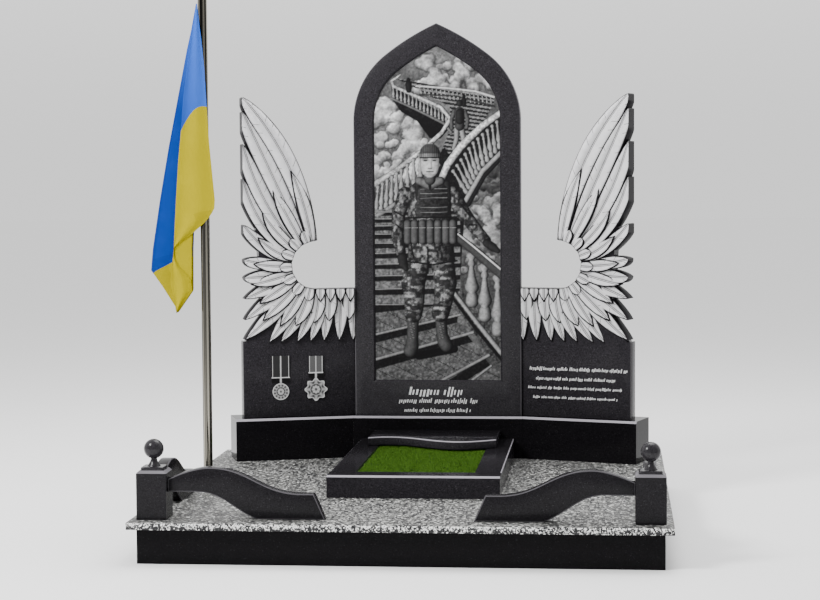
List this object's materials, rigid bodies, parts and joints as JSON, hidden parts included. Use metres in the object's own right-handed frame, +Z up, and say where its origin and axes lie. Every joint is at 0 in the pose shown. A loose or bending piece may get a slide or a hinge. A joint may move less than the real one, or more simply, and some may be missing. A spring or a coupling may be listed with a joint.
{
  "type": "granite memorial",
  "caption": "Black granite family memorial: pointed stele on an angled base between carved wing panels, with paving, flower bed, S-shaped kerbs, ball-topped posts and a flag on a pole.",
  "frame": {"origin": "centre of the plinth's underside, on the ground", "axes": "+Z up; -Y is the front, where the yard and the bed are; +X is to the right of someone facing the stele"},
  "size_m": [2.23, 2.12, 2.4074],
  "materials": {
    "black_granite": "polished",
    "grey_granite": "flamed, speckled",
    "carved_granite": "carved, matt",
    "turf": "short grass",
    "steel": "polished",
    "flag_cloth": "matt cloth, blue over yellow"
  },
  "bodies": {
    "root": {"plinth": "black_granite", "paving_left": "grey_granite", "paving_middle": "grey_granite", "paving_right": "grey_granite", "post_left": "black_granite", "post_right": "black_granite", "finial_left": "black_granite", "finial_right": "black_granite", "front_kerb_left": "black_granite", "front_kerb_right": "black_granite", "side_kerb_left": "black_granite", "side_kerb_right": "black_granite", "bed_front": "black_granite", "bed_left": "black_granite", "bed_right": "black_granite", "turf": "turf", "cover_slab": "black_granite", "base_left": "black_granite", "base_middle": "black_granite", "base_right": "black_granite", "stele": "black_granite", "wing_left": "carved_granite", "wing_right": "carved_granite", "flagpole": "steel", "flag": "flag_cloth"}
  },
  "joints": []
}
